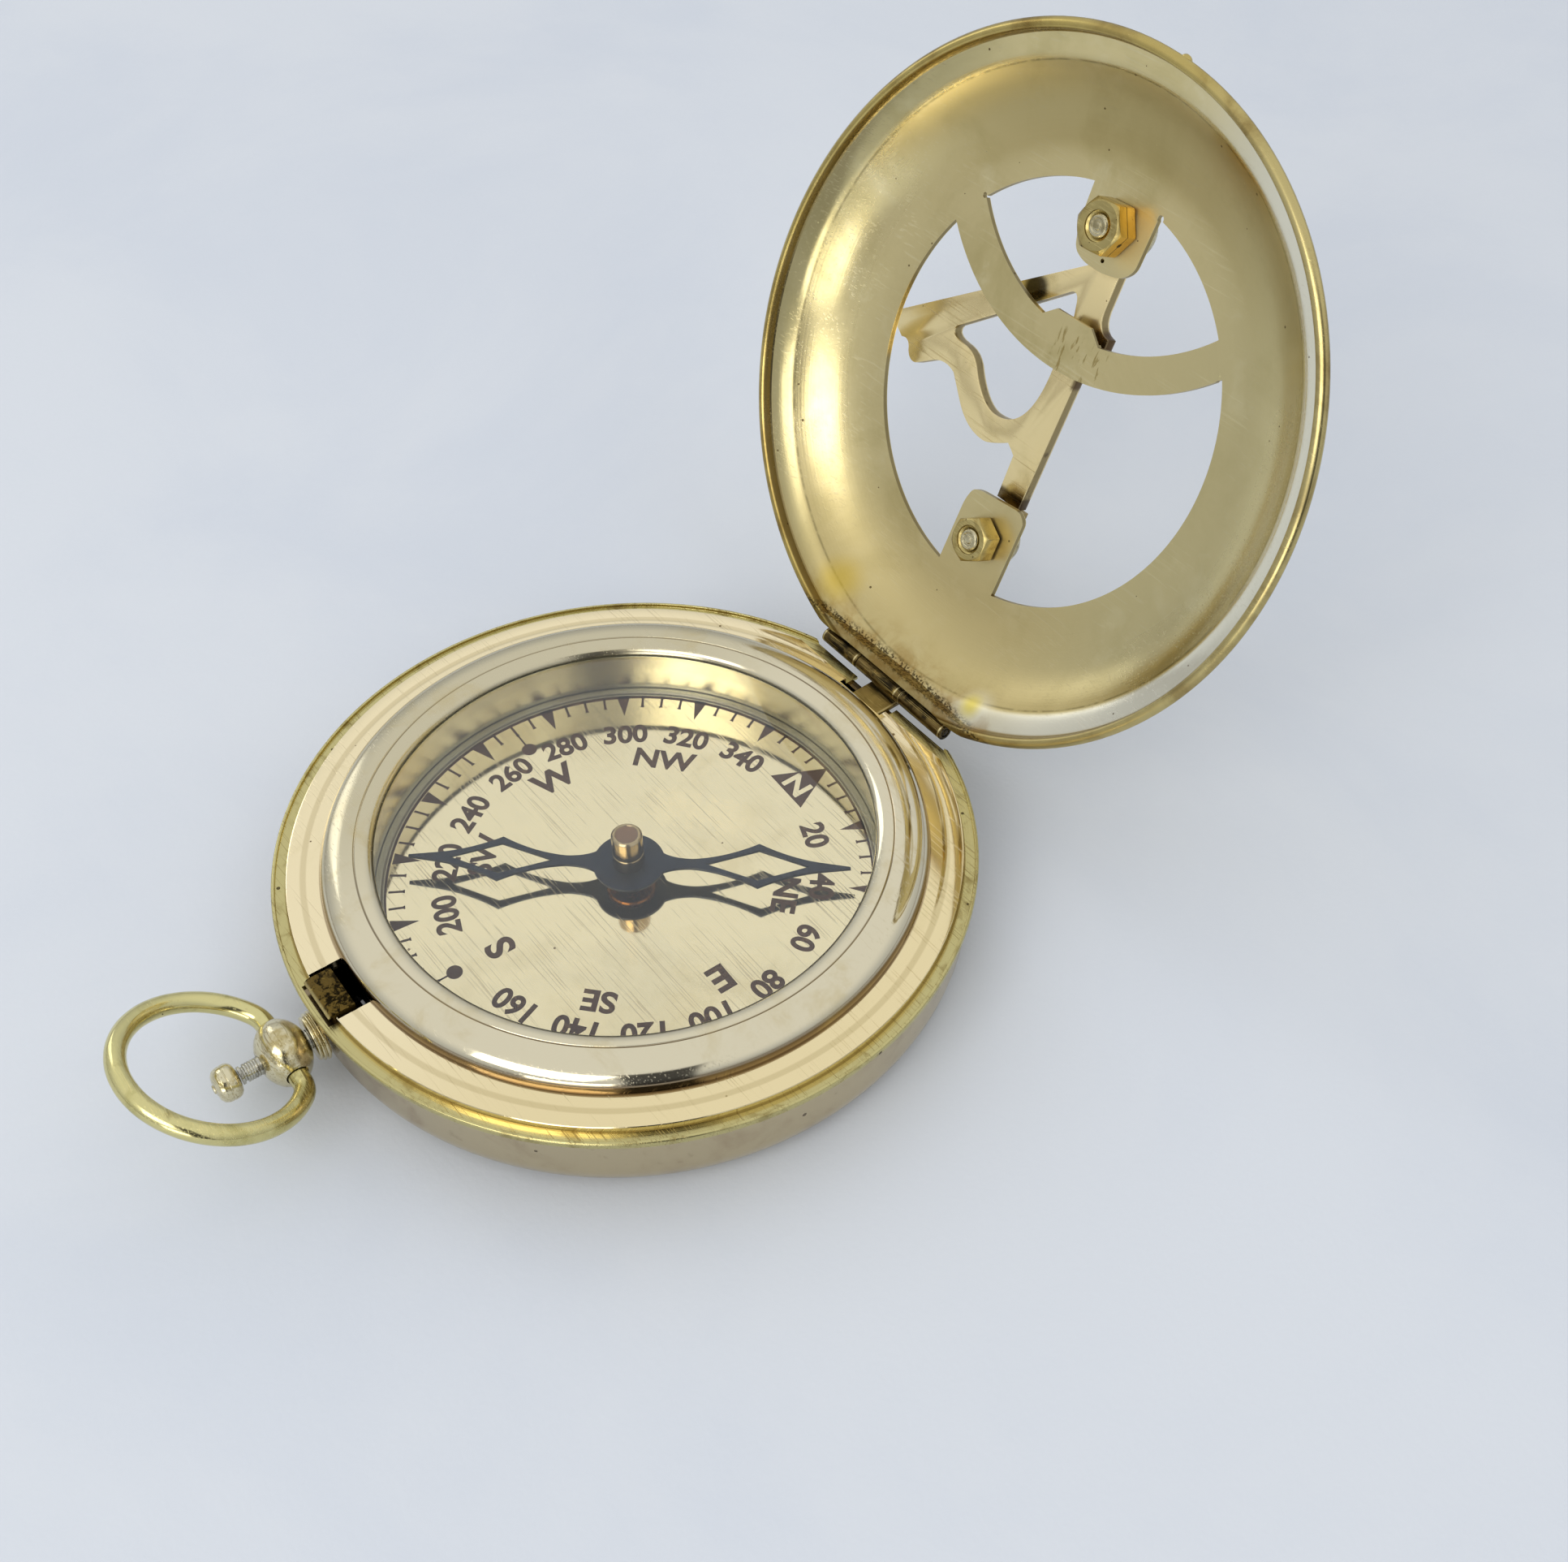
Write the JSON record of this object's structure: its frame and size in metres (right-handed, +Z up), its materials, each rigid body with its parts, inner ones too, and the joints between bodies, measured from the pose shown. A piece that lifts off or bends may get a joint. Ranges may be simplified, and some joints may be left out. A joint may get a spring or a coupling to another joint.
{
  "type": "sundial compass",
  "caption": "Round brass pocket compass with a hinged cover that holds a fold-up sundial gnomon, a push-button catch and a bow ring.",
  "frame": {"origin": "centre of the case's flat bottom face", "axes": "+Z up through the dial, +Y towards the hinge, -Y towards the crown, X along the hinge pin"},
  "size_m": [0.0762, 0.1286, 0.0797],
  "materials": {
    "flange_brass": "polished, pale cream gold",
    "bezel_brass": "polished with fine circular brushing",
    "case_brass": "lacquered, slightly tarnished",
    "cover_brass": "satin with fine scratches and light tarnish",
    "gnomon_brass": "satin",
    "yellow_brass": "satin, yellow",
    "pale_brass": "polished, worn pale",
    "dark_brass": "dark tarnish",
    "dial_brass": "polished mirror with fine scratches and dark engraved marks",
    "black_steel": "blued and blackened",
    "spring_steel": "satin",
    "glass": "clear"
  },
  "bodies": {
    "case": {"case_pan": "case_brass", "rim_plate": "flange_brass", "bezel_ring": "bezel_brass", "glass_crystal": "glass", "capsule_cup": "case_brass", "dial_plate": "dial_brass", "dial_spacer_ring": "dial_brass", "pivot_pin": "pale_brass", "hinge_leaf": "dark_brass", "hinge_pin": "dark_brass", "pendant_neck": "pale_brass", "pendant_ball": "pale_brass", "return_spring": "spring_steel"},
    "compass_needle": {"needle_blade": "black_steel", "needle_cap": "pale_brass", "needle_collar": "dark_brass"},
    "button": {"push_stem": "spring_steel", "push_knob": "pale_brass"},
    "catch": {"latch_catch": "dark_brass"},
    "bow": {"bow_ring": "yellow_brass"},
    "cover": {"cover_shell": "cover_brass", "left_cover_knuckle": "dark_brass", "right_cover_knuckle": "dark_brass", "lower_bracket": "gnomon_brass", "upper_bracket": "gnomon_brass", "lower_screw": "pale_brass", "upper_screw": "pale_brass", "lower_nut": "gnomon_brass", "upper_nut": "gnomon_brass", "lower_gnomon_pin": "pale_brass", "upper_gnomon_pin": "pale_brass"},
    "gnomon": {"gnomon_plate": "gnomon_brass"}
  },
  "joints": [
    {"name": "cover_hinge", "type": "hinge", "parent": "case", "child": "cover", "pos_m": [0, 0.037, 0.0115], "axis": [1, 0, 0], "range_deg": [0, 115.2]},
    {"name": "gnomon_fold", "type": "hinge", "parent": "cover", "child": "gnomon", "pos_m": [0.0005, 0.06076, 0.04121], "axis": [0, -0.4258, -0.9048], "range_deg": [0, 90]},
    {"name": "needle_turn", "type": "hinge", "parent": "case", "child": "compass_needle", "pos_m": [0, 0, 0.0066], "axis": [0, 0, 1], "continuous": true},
    {"name": "button_slide", "type": "slide", "parent": "case", "child": "button", "axis": [0.0523, 0.9986, 0], "range_m": [0, 0.0011], "stiffness_N_per_m": 300},
    {"name": "catch_slide", "type": "slide", "parent": "case", "child": "catch", "axis": [0.0523, 0.9986, 0], "range_m": [0, 0.0011]},
    {"name": "bow_swing", "type": "hinge", "parent": "case", "child": "bow", "pos_m": [-0.00218, -0.04169, 0.0057], "axis": [-0.9986, 0.0523, 0], "range_deg": [-147, 72]}
  ],
  "couplings": [
    {"joint": "catch_slide", "follows": "button_slide", "ratio": 1}
  ]
}
